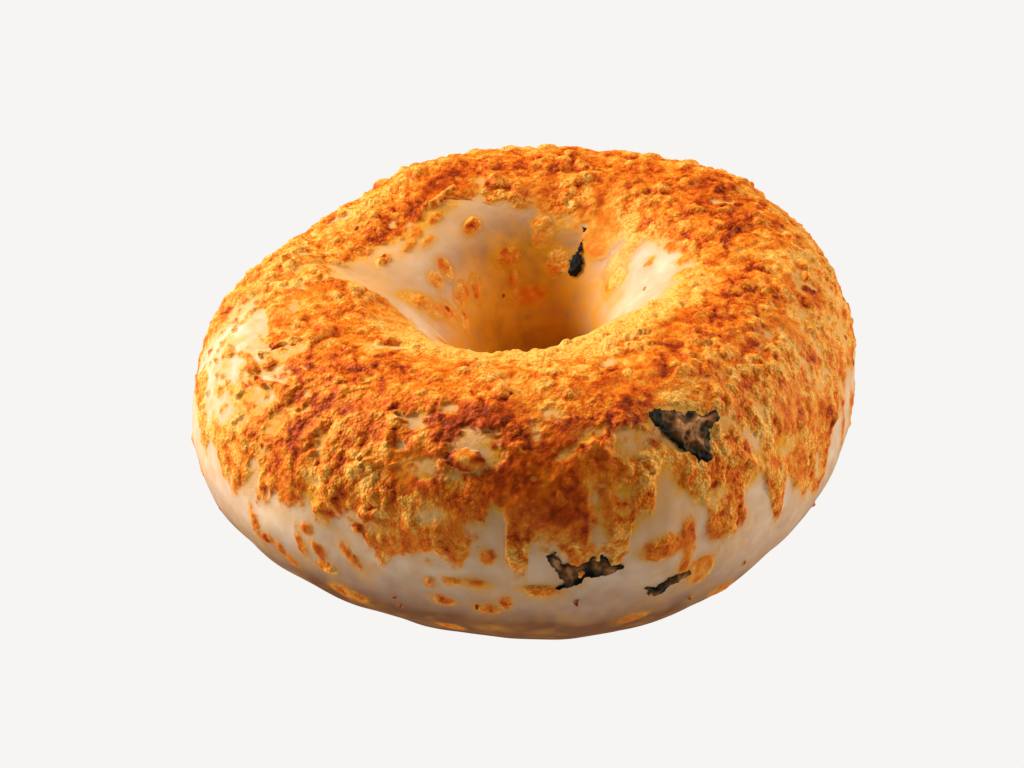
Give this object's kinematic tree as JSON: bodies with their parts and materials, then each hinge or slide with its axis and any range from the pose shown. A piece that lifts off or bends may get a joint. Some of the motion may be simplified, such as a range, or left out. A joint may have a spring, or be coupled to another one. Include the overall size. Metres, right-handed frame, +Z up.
{
  "type": "bagel",
  "caption": "Plump round bagel with a small off-centre hole, a browned grated-cheese crust on top and scraps of baked herb leaf, flat underneath.",
  "frame": {"origin": "centre of the bounding box, on the tray under the bagel", "axes": "+Z up out of the tray, -Y towards the side that carries the three leaf scraps"},
  "size_m": [0.1132, 0.1138, 0.046],
  "materials": {
    "baked_cheese": "golden browned cheese over pale baked dough",
    "baked_leaf": "dark dried herb leaf"
  },
  "bodies": {
    "root": {"bagel": "baked_cheese", "leaf_front_upper": "baked_leaf", "leaf_front_lower": "baked_leaf", "leaf_front_right": "baked_leaf", "leaf_in_hole": "baked_leaf"}
  },
  "joints": []
}
